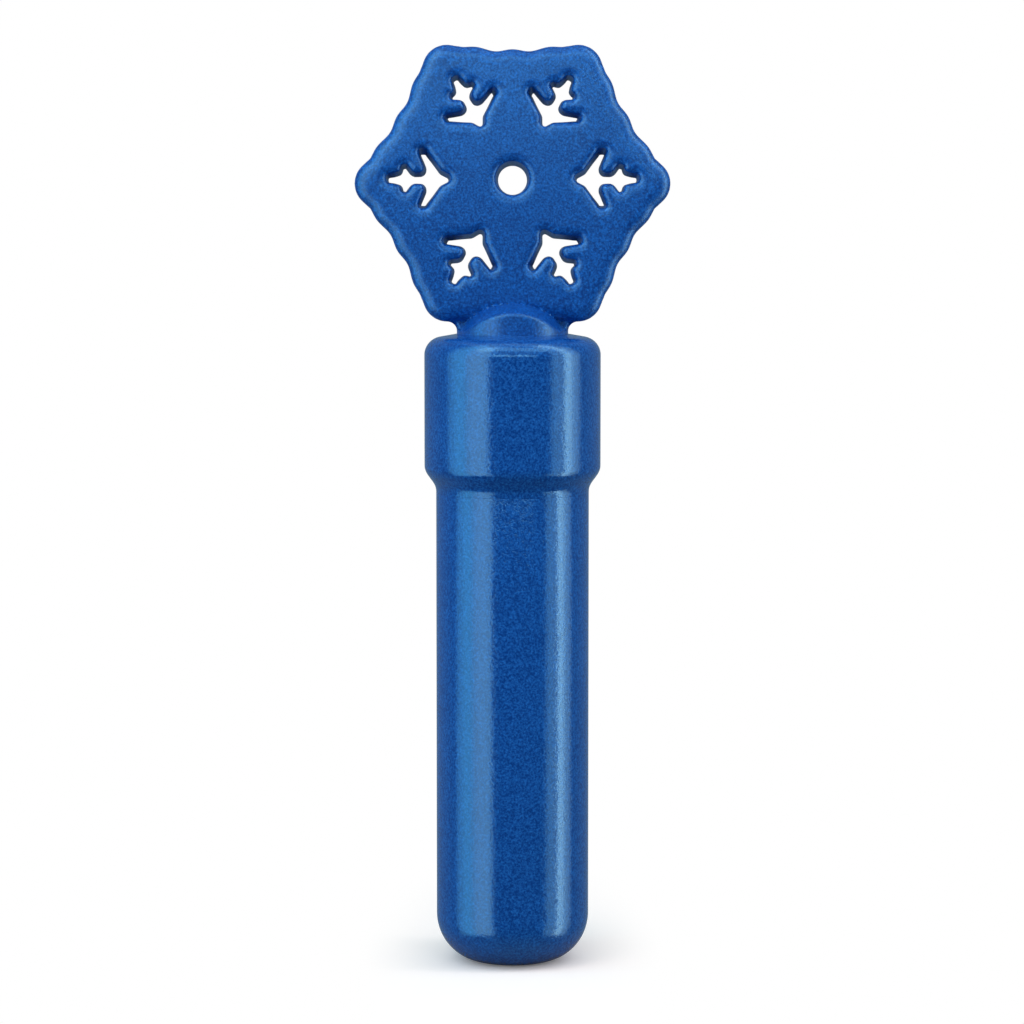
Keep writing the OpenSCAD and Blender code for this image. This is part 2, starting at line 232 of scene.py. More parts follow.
def finish_mesh(name, bm):
    """Turns a bmesh in millimetres into an object in metres, shaded smooth up to the sharp angle."""
    bmesh.ops.recalc_face_normals(bm, faces=bm.faces)
    bmesh.ops.scale(bm, vec=(MM, MM, MM), verts=bm.verts)
    for face in bm.faces:
        face.smooth = True
    for edge in bm.edges:
        edge.smooth = not (edge.is_manifold and edge.calc_face_angle(0.0) > SHARP_ANGLE)
    mesh = bpy.data.meshes.new(name)
    bm.to_mesh(mesh)
    bm.free()
    obj = bpy.data.objects.new(name, mesh)
    bpy.context.scene.collection.objects.link(obj)
    return obj


def add_band(bm, low, high):
    """Faces between two closed rings of corners."""
    count = len(low)
    for i in range(count):
        j = (i + 1) % count
        bm.faces.new((low[i], low[j], high[j], high[i]))


def add_lathe(bm, profile, steps=LATHE_STEPS):
    """Turns a profile of (radius, height) about Z. It starts and ends on the axis, or else it is closed."""
    rings = []
    for r, z in profile:
        if r == 0:
            rings.append([bm.verts.new((0, 0, z))])
            continue
        angles = [2 * math.pi * i / steps for i in range(steps)]
        rings.append([bm.verts.new((r * math.cos(a), r * math.sin(a), z)) for a in angles])
    pairs = list(zip(rings, rings[1:]))
    if profile[0][0] != 0:
        pairs.append((rings[-1], rings[0]))
    for low, high in pairs:
        if len(low) == len(high):
            add_band(bm, low, high)
            continue
        for i in range(steps):
            j = (i + 1) % steps
            bm.faces.new((low[0], high[i], high[j]) if len(low) == 1 else (low[i], low[j], high[0]))


def add_thread(bm, wall_r, outward, start_z):
    """Sweeps a trapezoid up a right-hand helix, sunk into its wall and rising from it at either end."""
    lead = THREAD_LEAD_TURNS * THREAD_STEPS
    count = int(THREAD_STEPS * THREAD_TURNS)
    root_r = wall_r - outward * THREAD_SINK
    rings = []
    for i in range(count + 1):
        share = min(1.0, i / lead, (count - i) / lead)
        a = 2 * math.pi * i / THREAD_STEPS
        z = start_z + THREAD_PITCH * i / THREAD_STEPS
        top = wall_r + outward * (share * THREAD_H - (1 - share) * THREAD_SINK / 2)
        crest = share * THREAD_CREST_W / 2 + (1 - share) * THREAD_ROOT_W / 4
        section = [(root_r, -THREAD_ROOT_W / 2), (top, -crest), (top, crest), (root_r, THREAD_ROOT_W / 2)]
        rings.append([bm.verts.new((r * math.cos(a), r * math.sin(a), z + h)) for r, h in section])
    for low, high in zip(rings, rings[1:]):
        add_band(bm, low, high)
    bm.faces.new(rings[0])
    bm.faces.new(rings[-1])


def make_tube():
    """Round-bottomed tube with a shoulder and a threaded neck."""
    bore = BODY_R - BODY_WALL
    shoulder_h = bore - NECK_BORE_R + BODY_WALL
    profile = [(0, 0)]
    profile += arc(BASE_FLAT_R, BASE_ROUND_H, BODY_R - BASE_FLAT_R, BASE_ROUND_H, -90, 0, 28)
    profile += arc(BODY_R - HEM_EDGE_R, SHOULDER_Z - HEM_EDGE_R, HEM_EDGE_R, HEM_EDGE_R, 0, 90, 3)
    profile += [(NECK_R, SHOULDER_Z)]
    profile += arc(NECK_R - 2 * EDGE_R, RIM_Z - 2 * EDGE_R, 2 * EDGE_R, 2 * EDGE_R, 0, 90, 5)
    profile += arc(NECK_BORE_R + EDGE_R, RIM_Z - EDGE_R, EDGE_R, EDGE_R, 90, 180, 4)
    profile += [(NECK_BORE_R, SHOULDER_Z - BODY_WALL), (bore, SHOULDER_Z - shoulder_h)]
    profile += arc(BASE_FLAT_R, BASE_ROUND_H, bore - BASE_FLAT_R, BASE_ROUND_H - FLOOR_T, 0, -90, 20)
    profile += [(0, FLOOR_T)]
    bm = bmesh.new()
    add_lathe(bm, profile)
    add_thread(bm, NECK_R, 1, THREAD_Z)
    return finish_mesh("tube_shell", bm)


def make_collar():
    """Screw collar: hem, S-curve, grip, crown, and the sleeve and thread inside."""
    out = COLLAR_R - BODY_R
    edge_r = COLLAR_R - COLLAR_ROUND_R
    edge_z = SEAT_Z - CROWN_RISE - COLLAR_ROUND_R
    crown = math.degrees(math.atan(CROWN_RISE / (edge_r - HEAD_NECK_R)))
    low = HEM_Z + HEM_EDGE_R
    rise = HEM_CURVE_H - HEM_EDGE_R
    sleeve_z = ROOF_Z - SLEEVE_L + 2 * EDGE_R
    profile = [(COLLAR_BORE_R, HEM_Z)]
    profile += arc(BODY_R - HEM_EDGE_R, low, HEM_EDGE_R, HEM_EDGE_R, -90, 0, 3)
    for t in np.linspace(0, 1, HEM_CURVE_STEPS + 1)[1:]:
        profile.append((BODY_R + out * t ** 3 * (10 - 15 * t + 6 * t * t), low + rise * t))
    profile += arc(edge_r, edge_z, COLLAR_ROUND_R, COLLAR_ROUND_R, 0, 90 - crown, 18)
    profile += [(HEAD_NECK_R, SEAT_Z)]
    profile += arc(SLEEVE_BORE_R + EDGE_R, SEAT_Z - EDGE_R, EDGE_R, EDGE_R, 90, 180, 4)
    profile += arc(SLEEVE_R - 3 * EDGE_R, sleeve_z, 2 * EDGE_R, 2 * EDGE_R, 225, 360, 6)
    profile += [(SLEEVE_R, ROOF_Z), (COLLAR_BORE_R, ROOF_Z)]
    bm = bmesh.new()
    add_lathe(bm, profile)
    add_thread(bm, COLLAR_BORE_R, -1, THREAD_Z - COLLAR_THREAD_DROP)
    return finish_mesh("collar_shell", bm)


def make_gasket():
    """Flat gasket with rounded edges, round the collar's sleeve."""
    inner = SLEEVE_R + GASKET_CLEAR + GASKET_EDGE_R
    outer = GASKET_HIGH[0] - GASKET_EDGE_R
    low = GASKET_LOW[2] + GASKET_EDGE_R
    high = GASKET_HIGH[2] - GASKET_EDGE_R
    profile = []
    for x, y, start in ((outer, low, -90), (outer, high, 0), (inner, high, 90), (inner, low, 180)):
        profile += arc(x, y, GASKET_EDGE_R, GASKET_EDGE_R, start, start + 90, 6)
    bm = bmesh.new()
    add_lathe(bm, profile)
    return finish_mesh("gasket_ring", bm)


def make_seal_ring(name, low, high):
    """Seal ring of round section, as high as it is thick."""
    section_r = (high[2] - low[2]) / 2
    mid_r = high[0] - section_r
    section = arc(mid_r, low[2] + section_r, section_r, section_r, 0, 360, 24)[:-1]
    bm = bmesh.new()
    add_lathe(bm, section)
    return finish_mesh(name, bm)


def soft_max(a, b, blend):
    """The larger of two values, with a soft change from one to the other."""
    h = np.maximum(blend - np.abs(a - b), 0) / blend
    return np.maximum(a, b) + h * h * blend / 4


def edge_distance(from_tip, reach):
    """Distance of the plate's edge from its middle, at an angle in radians from the nearest tip."""
    from_side = math.pi / 6 - np.abs(from_tip)
    s = SIDE_REACH * np.tan(from_side)
    half = TIP_REACH / 2 - TIP_R * math.sin(TIP_END_ANGLE)
    side = SIDE_REACH + SIDE_BOW * np.minimum(np.abs(s) / half, 1) ** 2
    side = side + WAVE_H * np.cos(2 * math.pi * s / WAVE_L) - SIDE_FALL * np.maximum(np.abs(s) - half, 0)
    side = side / np.cos(from_side)
    under = TIP_R ** 2 - (reach * np.sin(from_tip)) ** 2
    tip = np.where(under > 0, reach * np.cos(from_tip) + np.sqrt(np.maximum(under, 0)), 0)
    return soft_max(side, tip, TIP_BLEND)


def plate_outline():
    """Wavy six-sided outline of the plate, as (x, z), anticlockwise from the right-hand tip."""
    points = []
    for k, trim in enumerate(TIP_TRIMS):
        from_tip = np.linspace(-math.pi / 6, math.pi / 6, TIP_STEPS, endpoint=False)
        r = edge_distance(from_tip, TIP_REACH - trim)
        a = k * math.pi / 3 + from_tip
        points.append(np.stack([r * np.cos(a), PLATE_Z + r * np.sin(a)], axis=1))
    return np.concatenate(points)


def soften(points, passes):
    """Rounds the corners of a closed polygon of even steps by averaging each point with its neighbours."""
    for _ in range(passes):
        points = (np.roll(points, 1, axis=0) + 2 * points + np.roll(points, -1, axis=0)) / 4
    return points


def resample(points, step):
    """Spreads points evenly along a closed polygon."""
    ring = np.concatenate([points, points[:1]])
    lengths = np.linalg.norm(np.diff(ring, axis=0), axis=1)
    along = np.concatenate([[0], np.cumsum(lengths)])
    count = int(along[-1] / step)
    at = np.linspace(0, along[-1], count, endpoint=False)
    return np.stack([np.interp(at, along, ring[:, 0]), np.interp(at, along, ring[:, 1])], axis=1)


def inward(polygon):
    """Unit normals that point to the left of an anticlockwise polygon's path, into it."""
    along = np.roll(polygon, -1, axis=0) - np.roll(polygon, 1, axis=0)
    along /= np.linalg.norm(along, axis=1)[:, None]
    return np.stack([-along[:, 1], along[:, 0]], axis=1)


def branch_loops(turn, start, scale):
    """Face edge and narrower waist of one branch cut-out, clockwise, turned about the pattern's middle."""
    half = [(start + scale * BRANCH_L * u, BRANCH_ARM * v) for u, v in BRANCH_SHARES]
    other = [(u, -v) for u, v in half[-2:0:-1]]
    rough = resample(np.array(half + other), ROUGH_STEP)
    edge = resample(soften(rough, SOFT_PASSES), BRANCH_STEP)
    waist = edge - HOLE_DRAFT * inward(edge)
    waist[:, 1] *= 1 - WING_DRAFT * (edge[:, 1] / BRANCH_ARM) ** 2
    c, s = math.cos(turn), math.sin(turn)
    loops = []
    for points, drop in ((edge, 0), (waist, WAIST_DROP)):
        turned = points @ np.array([[c, s], [-s, c]])
        loops.append(turned + np.array([0, PLATE_Z + PATTERN_UP - drop]))
    return loops


def hang_loops():
    """Face edge and narrower waist of the round hole in the middle of the snowflake, clockwise."""
    a = np.linspace(0, -2 * math.pi, 72, endpoint=False)
    circle = np.stack([np.cos(a), np.sin(a)], axis=1)
    middle = np.array([0, PLATE_Z + PATTERN_UP])
    waist_middle = middle - np.array([0, WAIST_DROP])
    return [HANG_R * circle + middle, (HANG_R - HOLE_DRAFT) * circle + waist_middle]


def head_outline(plate):
    """Outline of plate, fillets and neck together, anticlockwise, starting at the neck's right-hand foot."""
    start = HEAD_NECK_R + NECK_FILLET_R
    over_fillet = np.abs(plate[:, 0] - start) < FILLET_SEARCH
    fillet_z = plate[over_fillet][:, 1].min() - NECK_FILLET_R
    below = plate[:, 1] < PLATE_Z - SIDE_REACH * PLATE_LOW_SHARE
    keep = plate[~(below & (np.abs(plate[:, 0]) < start + NECK_CLEAR))]
    angle = np.arctan2(keep[:, 0], -(keep[:, 1] - PLATE_Z))
    keep = keep[np.argsort(angle % (2 * math.pi))]
    right = arc(start, fillet_z, NECK_FILLET_R, NECK_FILLET_R, 180, NECK_FILLET_END, 12)
    left = [(-x, z) for x, z in right[::-1]]
    sides = np.linspace(SEAT_Z, fillet_z, 5)[:-1]
    up = [(HEAD_NECK_R, z) for z in sides]
    down = [(-HEAD_NECK_R, z) for z in sides[::-1]]
    foot = [(HEAD_NECK_R * math.cos(a), SEAT_Z) for a in np.linspace(math.pi, 0, 61)[1:-1]]
    return np.array(up + right + [tuple(p) for p in keep] + left + down + foot)


def polygon_distance(points, polygon):
    """Distance of each point from a polygon's edge, positive inside."""
    batch = 1500
    tiny = 1e-12
    a = polygon
    b = np.roll(polygon, -1, axis=0)
    ab = b - a
    safe = np.where(ab[:, 1] == 0, tiny, ab[:, 1])
    out = np.empty(len(points))
    for first in range(0, len(points), batch):
        p = points[first:first + batch, None, :]
        t = ((p - a) * ab).sum(2) / np.maximum((ab * ab).sum(1), tiny)
        near = a + np.clip(t, 0, 1)[..., None] * ab
        dist = np.sqrt(((p - near) ** 2).sum(2)).min(1)
        crosses = (a[:, 1] > p[..., 1]) != (b[:, 1] > p[..., 1])
        at = a[:, 0] + (p[..., 1] - a[:, 1]) * ab[:, 0] / safe
        inside = (crosses & (p[..., 0] < at)).sum(1) % 2 == 1
        out[first:first + batch] = np.where(inside, dist, -dist)
    return out


def round_drop(dist, size):
    """How far an edge rounded over a width and a depth lies below its face, at a distance from the edge."""
    width, deep = size
    share = 1 - np.clip(dist, 0, width) / width
    return deep * (1 - np.sqrt(1 - share ** 2))


def dome_share(x, z):
    """How far the neck's dome has risen from the plate to the neck's own roundness, under its arch."""
    bow = np.maximum(1 - (x / DOME_HALF) ** 2, 0) ** DOME_BOW
    arch = DOME_FOOT_H + (DOME_TOP_H - DOME_FOOT_H) * bow
    rise = np.clip((arch - (z - SEAT_Z)) / np.minimum(DOME_EDGE, DOME_EDGE_SHARE * arch), 0, 1)
    return 1 - (1 - rise) ** 2


def head_depth(points, plate, outline, holes):
    """Half-thickness of the head at each point: the plate, the round neck and the fillets between them."""
    d_plate = polygon_distance(points, plate)
    d_outline = polygon_distance(points, outline)
    across = np.hypot(points[:, 0], points[:, 1] - PLATE_Z) / SIDE_REACH
    depth = PLATE_HALF - PUFF * across ** 2 - round_drop(d_plate, RIM_ROUND)
    beyond = (PLATE_HALF - PUFF - RIM_ROUND[1]) * (1 + np.minimum(d_plate, 0) / WEB_FADE)
    depth = np.where(d_plate < 0, np.maximum(beyond, 0), depth)
    for hole in holes:
        near = np.linalg.norm(points - hole.mean(0), axis=1) < BRANCH_L
        depth[near] -= round_drop(np.abs(polygon_distance(points[near], hole)), HOLE_ROUND)
    x, z = points[:, 0], points[:, 1]
    neck = np.sqrt(np.maximum(HEAD_NECK_R ** 2 - x ** 2, 0))
    neck = depth + (neck - depth) * dome_share(x, z)
    web = np.sqrt(np.maximum(WEB_R ** 2 - (WEB_R - np.clip(d_outline, 0, WEB_R)) ** 2, 0))
    low = z < SEAT_Z + DOME_TOP_H + DOME_EDGE
    return np.where(low, np.maximum(np.maximum(depth, neck), np.minimum(web, WEB_HALF)), depth)


def clearance(points, loops, margins):
    """How far inside the head each point lies, past a margin at each loop. The first loop is the outline."""
    nearest = np.full(len(points), np.inf)
    for k, (loop, margin) in enumerate(zip(loops, margins)):
        side = 1 if k == 0 else -1
        nearest = np.minimum(nearest, side * polygon_distance(points, loop) - margin)
    return nearest


def grid_points(low, high, step, shift=0):
    """Points of a grid between two corners, with every other row shifted sideways."""
    xs, zs = np.meshgrid(np.arange(low[0], high[0], step), np.arange(low[1], high[1], step))
    odd = np.arange(xs.size) // xs.shape[1] % 2
    return np.stack([xs.ravel() + odd * shift, zs.ravel()], axis=1)


def head_points(loops):
    """Points inside the head's faces: rows along every edge, a grid, and a finer grid for the dome."""
    widths = [RIM_ROUND[0]] + [HOLE_ROUND[0]] * (len(loops) - 1)
    kept = []
    for k, (loop, width) in enumerate(zip(loops, widths)):
        normal = inward(loop) * (1 if k == 0 else -1)
        for angle in range(ROW_TURN, 90 + ROW_TURN + 1, ROW_TURN):
            d = width * (1 - math.cos(math.radians(min(angle, 90)))) + (ROW_BEYOND if angle > 90 else 0)
            points = loop + normal * d
            kept.append(points[clearance(points, loops, [0] * len(loops)) > ROW_KEEP_SHARE * d])
    grid = grid_points(loops[0].min(0), loops[0].max(0), GRID_STEP, GRID_STEP / 2)
    kept.append(grid[clearance(grid, loops, widths) > GRID_CLEAR])
    low, high = (-DOME_GRID_HALF, SEAT_Z + DOME_STEP), (DOME_GRID_HALF, SEAT_Z + DOME_GRID_H)
    grid = grid_points(low, high, DOME_STEP)
    kept.append(grid[polygon_distance(grid, loops[0]) > DOME_CLEAR])
    return np.concatenate(kept)


def triangulate(loops, inner):
    """Flat corners and triangles between the outline and the holes. The loops' own corners come first."""
    points = np.concatenate(loops + [inner])
    edges = []
    first = 0
    for loop in loops:
        count = len(loop)
        edges += [(first + i, first + (i + 1) % count) for i in range(count)]
        first += count
    verts, _, faces, _, _, _ = delaunay_2d_cdt([Vector(p) for p in points], edges, [], 0, MERGE)
    flat = np.array([tuple(v) for v in verts])
    tris = np.array([tuple(f) for f in faces])
    middle = flat[tris].mean(axis=1)
    return flat, tris[clearance(middle, loops, [0] * len(loops)) > 0]


def add_faces(bm, flat, tris, depth):
    """Front and back faces of the head. Gives the corners of both and the edges that are still open."""
    front = [bm.verts.new((x, -d, z)) for (x, z), d in zip(flat, depth)]
    back = [f if d < THIN else bm.verts.new((x, d, z)) for f, (x, z), d in zip(front, flat, depth)]
    sides = {}
    for a, b, c in tris:
        bm.faces.new((front[a], front[b], front[c]))
        bm.faces.new((back[c], back[b], back[a]))
        for edge in ((a, b), (b, c), (c, a)):
            sides[edge] = True
    return front, back, [edge for edge in sides if edge[::-1] not in sides]


def add_walls(bm, front, back, rims, waist):
    """Walls between front and back: straight round the outline, and by way of the waist in the holes."""
    for a, b in rims:
        if a in waist and b in waist:
            bm.faces.new((front[a], waist[a], waist[b], front[b]))
            bm.faces.new((waist[a], back[a], back[b], waist[b]))
            continue
        corners = [front[a], back[a], back[b], front[b]]
        corners = [v for i, v in enumerate(corners) if v not in corners[:i]]
        if len(corners) > 2:
            bm.faces.new(corners)


def make_head():
    """Snowflake plate and round neck as one smooth moulding, with a pin underneath for the plug."""
    plate = plate_outline()
    outline = head_outline(plate)
    pairs = [hang_loops()]
    for k, (start, scale) in enumerate(zip(BRANCH_STARTS, BRANCH_SCALES)):
        pairs.append(branch_loops(k * math.pi / 3, start, scale))
    holes = [edge[::-1] for edge, _ in pairs]
    waists = np.concatenate([waist[::-1] for _, waist in pairs])
    loops = [outline] + holes
    flat, tris = triangulate(loops, head_points(loops))
    depth = np.maximum(head_depth(flat, plate, outline, holes), 0)
    bm = bmesh.new()
    front, back, rims = add_faces(bm, flat, tris, depth)
    waist = {len(outline) + k: bm.verts.new((x, 0, z)) for k, (x, z) in enumerate(waists)}
    add_walls(bm, front, back, rims, waist)
    loose = [v for v in bm.verts if not v.link_faces]
    bmesh.ops.delete(bm, geom=loose, context="VERTS")
    pin_low = SEAT_Z - SPIGOT_L
    pin = [(0, pin_low)] + arc(SPIGOT_R - EDGE_R, pin_low + EDGE_R, EDGE_R, EDGE_R, -90, 0, 4)
    pin += [(SPIGOT_R, SEAT_Z + SPIGOT_SUNK), (0, SEAT_Z + SPIGOT_SUNK)]
    add_lathe(bm, pin, 48)
    return finish_mesh("snowflake_moulding", bm)


def make_plug():
    """Stopper plug with two ring grooves, a socket above, and a hollow and a hub below."""
    low, high = PLUG_LOW[2], PLUG_HIGH[2]
    socket_z = high - SPIGOT_L - SOCKET_CLEAR
    profile = [(0, low + HUB_BORE_L), (HUB_BORE_R, low + HUB_BORE_L)]
    profile += arc(HUB_BORE_R + EDGE_R, low + EDGE_R, EDGE_R, EDGE_R, 180, 270, 3)
    profile += arc(HUB_R - EDGE_R, low + EDGE_R, EDGE_R, EDGE_R, -90, 0, 3)
    profile += [(HUB_R, low + HOLLOW_L), (HOLLOW_R, low + HOLLOW_L)]
    profile += arc(HOLLOW_R + EDGE_R, low + EDGE_R, EDGE_R, EDGE_R, 180, 270, 3)
    profile += arc(PLUG_R - 2 * EDGE_R, low + 2 * EDGE_R, 2 * EDGE_R, 2 * EDGE_R, -90, 0, 4)
    for seat_low, seat_high in ((LOWER_LOW, LOWER_HIGH), (UPPER_LOW, UPPER_HIGH)):
        z = (seat_low[2] + seat_high[2]) / 2
        below, above = z - GROOVE_HALF, z + GROOVE_HALF
        profile += [(PLUG_R, below - EDGE_R), (PLUG_R - EDGE_R, below), (GROOVE_R, below)]
        profile += [(GROOVE_R, above), (PLUG_R - EDGE_R, above), (PLUG_R, above + EDGE_R)]
    profile += arc(PLUG_R - EDGE_R, high - EDGE_R, EDGE_R, EDGE_R, 0, 90, 3)
    profile += [(SOCKET_R, high), (SOCKET_R, socket_z), (0, socket_z)]
    bm = bmesh.new()
    add_lathe(bm, profile, 96)
    return finish_mesh("plug_moulding", bm)


def make_stem():
    """Stem with four ribs in a cross and a round pin at either end."""
    half = STEM_HIGH[0]
    rib = STEM_RIB_HALF
    inner = rib - STEM_CORNER
    low = STEM_LOW[2] + STEM_PIN_L
    high = STEM_HIGH[2] - STEM_PIN_L
    shoulder = half - STEM_CORNER
    end = ((rib, rib), (rib, shoulder), (inner, half), (-inner, half), (-rib, shoulder))
    section = []
    for k in range(4):
        c, s = math.cos(k * math.pi / 2), math.sin(k * math.pi / 2)
        section += [(x * c - y * s, x * s + y * c) for x, y in end]
    bm = bmesh.new()
    levels = [low + (high - low) * i / STEM_LEVELS for i in range(STEM_LEVELS + 1)]
    rings = [[bm.verts.new((x, y, z)) for x, y in section] for z in levels]
    for lower, upper in zip(rings, rings[1:]):
        add_band(bm, lower, upper)
    bm.faces.new(rings[0])
    bm.faces.new(rings[-1])
    pins = [(0, STEM_LOW[2])]
    pins += arc(STEM_PIN_R - EDGE_R, STEM_LOW[2] + EDGE_R, EDGE_R, EDGE_R, -90, 0, 4)
    pins += arc(STEM_PIN_R - EDGE_R, STEM_HIGH[2] - EDGE_R, EDGE_R, EDGE_R, 0, 90, 4)
    pins += [(0, STEM_HIGH[2])]
    add_lathe(bm, pins, 48)
    return finish_mesh("stem_moulding", bm)


def make_bubble_ring():
    """Dipping ring with a ridged, rounded section, and the boss that takes the stem's pin."""
    ring_r = RING_HIGH[0]
    centre_z = RING_LOW[2] + ring_r
    round_x, round_y = RING_ROUND_SHARES
    section = []
    for x, y, start in ((1, 1, 0), (-1, 1, 90), (-1, -1, 180), (1, -1, 270)):
        section += arc(x * (1 - round_x), y * (1 - round_y), round_x, round_y, start, start + 90, 4)
    bm = bmesh.new()
    rings = []
    steps = RIDGES * RIDGE_STEPS
    for i in range(steps):
        a = 2 * math.pi * i / steps
        wave = 0.5 + 0.5 * math.cos(RIDGES * a)
        ridge = RIDGE_H * (wave ** RIDGE_POWER)
        ring = []
        for u, v in section:
            r = ring_r - RING_W / 2 + u * RING_W / 2
            if u < 0:
                r -= RIDGE_INWARD_SHARE * ridge * -u
            y = v * (RING_HALF_T - RIDGE_H + ridge)
            ring.append(bm.verts.new((r * math.cos(a), y, centre_z + r * math.sin(a))))
        rings.append(ring)
    for low, high in zip(rings, rings[1:] + rings[:1]):
        add_band(bm, low, high)
    bottom = centre_z + ring_r - RING_W / 2
    top = RING_HIGH[2]
    boss = [(0, bottom), (HUB_R, bottom)]
    boss += arc(HUB_R - EDGE_R, top - EDGE_R, EDGE_R, EDGE_R, 0, 90, 4)
    boss += arc(HUB_BORE_R + EDGE_R, top - EDGE_R, EDGE_R, EDGE_R, 90, 180, 4)
    boss += [(HUB_BORE_R, top - HUB_BORE_L), (0, top - HUB_BORE_L)]
    add_lathe(bm, boss, 64)
    return finish_mesh("dipping_ring", bm)


def add_node(tree, kind, **values):
    """Adds a shader node and sets its named inputs."""
    made = tree.nodes.new(kind)
    for key, value in values.items():
        made.inputs[key.replace("_", " ")].default_value = value
    return made


def operate(tree, kind, operation, *values):
    """Adds a Math or Vector Math node on values, each a socket, a number or a vector, and gives the node."""
    made = tree.nodes.new(kind)
    made.operation = operation
    for socket, value in zip(made.inputs, values):
        if isinstance(value, bpy.types.NodeSocket):
            tree.links.new(value, socket)
        else:
            socket.default_value = value
    return made


def maths(tree, operation, *values):
    """Result of a Math node on sockets and numbers."""
    return operate(tree, "ShaderNodeMath", operation, *values).outputs["Value"]


def mixed(tree, share, first, second):
    """Mix of two shaders, from the first at a share of 0 to the second at 1."""
    made = tree.nodes.new("ShaderNodeMixShader")
    for socket, value in zip(made.inputs, (share, first, second)):
        tree.links.new(value, socket)
    return made.outputs[0]


def linear(rgb):
    """Turns a colour from 0 to 255, as seen on screen, into a linear one."""
    out = []
    for v in rgb:
        c = v / 255
        out.append(c / 12.92 if c <= 0.04045 else ((c + 0.055) / 1.055) ** 2.4)
    return (*out, 1)


def new_material(name):
    """Empty material with nodes, and its tree and output."""
    mat = bpy.data.materials.new(name)
    mat.use_nodes = True
    mat.node_tree.nodes.clear()
    return mat, mat.node_tree, mat.node_tree.nodes.new("ShaderNodeOutputMaterial")


def grained_plastic(name, dark, light, roughness, depth_mm, grain_mm=0.4, tint=(0.27, 0.74, 1.0)):
    """Moulded plastic with a leathery grain of fine pale worm-like ridges over a slight mottle."""
    pebble_scale = 1.1 / (grain_mm * MM)
    crinkle_scale = 0.7 / (grain_mm * MM)
    mottle_scale = 110.0
    ridge_slope = 9.0
    ridge_weight = 0.22
    wave_weight = 1.5
    mottle_weight = 0.15
    dark_tone, light_tone = 0.5, 1.0
    mat, tree, out = new_material(name)
    bsdf = add_node(tree, "ShaderNodeBsdfPrincipled", IOR=1.6, Roughness=roughness)
    bsdf.inputs["Specular IOR Level"].default_value = 0.8
    bsdf.inputs["Specular Tint"].default_value = (*tint, 1)
    coords = tree.nodes.new("ShaderNodeTexCoord")
    noise = "ShaderNodeTexNoise"
    pebble = add_node(tree, noise, Scale=pebble_scale, Detail=1.0, Roughness=0.5)
    crinkle = add_node(tree, noise, Scale=crinkle_scale, Detail=1.0, Roughness=0.5, Distortion=1.0)
    mottle = add_node(tree, noise, Scale=mottle_scale, Detail=3.0, Roughness=0.55)
    for texture in (pebble, crinkle, mottle):
        tree.links.new(coords.outputs["Object"], texture.inputs["Vector"])
    apart = maths(tree, "ABSOLUTE", maths(tree, "SUBTRACT", crinkle.outputs["Fac"], 0.5))
    fall = maths(tree, "MULTIPLY", apart, ridge_slope)
    ridge = maths(tree, "MAXIMUM", maths(tree, "SUBTRACT", 1.0, fall), 0.0)
    height = maths(tree, "ADD", maths(tree, "MULTIPLY", ridge, ridge_weight), pebble.outputs["Fac"])
    waves = maths(tree, "MULTIPLY", mottle.outputs["Fac"], wave_weight)
    bump = add_node(tree, "ShaderNodeBump", Strength=1.0, Distance=depth_mm * MM)
    tree.links.new(maths(tree, "ADD", height, waves), bump.inputs["Height"])
    tree.links.new(bump.outputs["Normal"], bsdf.inputs["Normal"])
    tone = maths(tree, "ADD", height, maths(tree, "MULTIPLY", mottle.outputs["Fac"], mottle_weight))
    ramp = tree.nodes.new("ShaderNodeValToRGB")
    for stop, position, colour in zip(ramp.color_ramp.elements, (dark_tone, light_tone), (dark, light)):
        stop.position = position
        stop.color = linear(colour)
    tree.links.new(tone, ramp.inputs["Fac"])
    tree.links.new(ramp.outputs["Color"], bsdf.inputs["Base Color"])
    tree.links.new(bsdf.outputs["BSDF"], out.inputs["Surface"])
    return mat


def rubber(name, rgb):
    """Pale soft rubber with a dull, faintly uneven face."""
    dark = [0.93 * v for v in rgb]
    return grained_plastic(name, dark, rgb, roughness=0.62, depth_mm=0.01, grain_mm=0.25, tint=(1, 1, 1))


def dress(piece, material, body, node_name):
    """Gives a piece its material in a new slot and its body, and hides the CAD node that it stands for."""
    piece.data.materials.append(material)
    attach(piece, body)
    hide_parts(node_name)


def area_lamp(name, location, turn, width, height, radiance, tint=(1, 1, 1)):
    """Rectangular studio lamp of an even brightness that shines along its own -Z."""
    data = bpy.data.lights.new(name, "AREA")
    data.shape = "RECTANGLE"
    data.size = width
    data.size_y = height
    data.energy = radiance * math.pi * width * height
    data.color = tint
    obj = bpy.data.objects.new(name, data)
    obj.location = location
    obj.rotation_euler = turn
    bpy.context.scene.collection.objects.link(obj)


def panel(name, first, last, radiance, tint):
    """Upright lamp that fills a range of angles round the object, counted from the camera to the right."""
    distance = 0.9
    low, high = -0.6, 2.6
    middle = math.radians((first + last) / 2)
    width = 2 * distance * math.tan(math.radians(last - first) / 2)
    place = (distance * math.sin(middle), -distance * math.cos(middle), (low + high) / 2)
    area_lamp(name, place, (math.pi / 2, 0, middle), width, high - low, radiance, tint)


def overhead(name, elevation, distance, width, height, radiance, target_z):
    """Lamp above the camera's side of the object, tilted towards it."""
    e = math.radians(elevation)
    place = (0, -distance * math.cos(e), target_z + distance * math.sin(e))
    area_lamp(name, place, (math.pi / 2 - e, 0, 0), width, height, radiance)


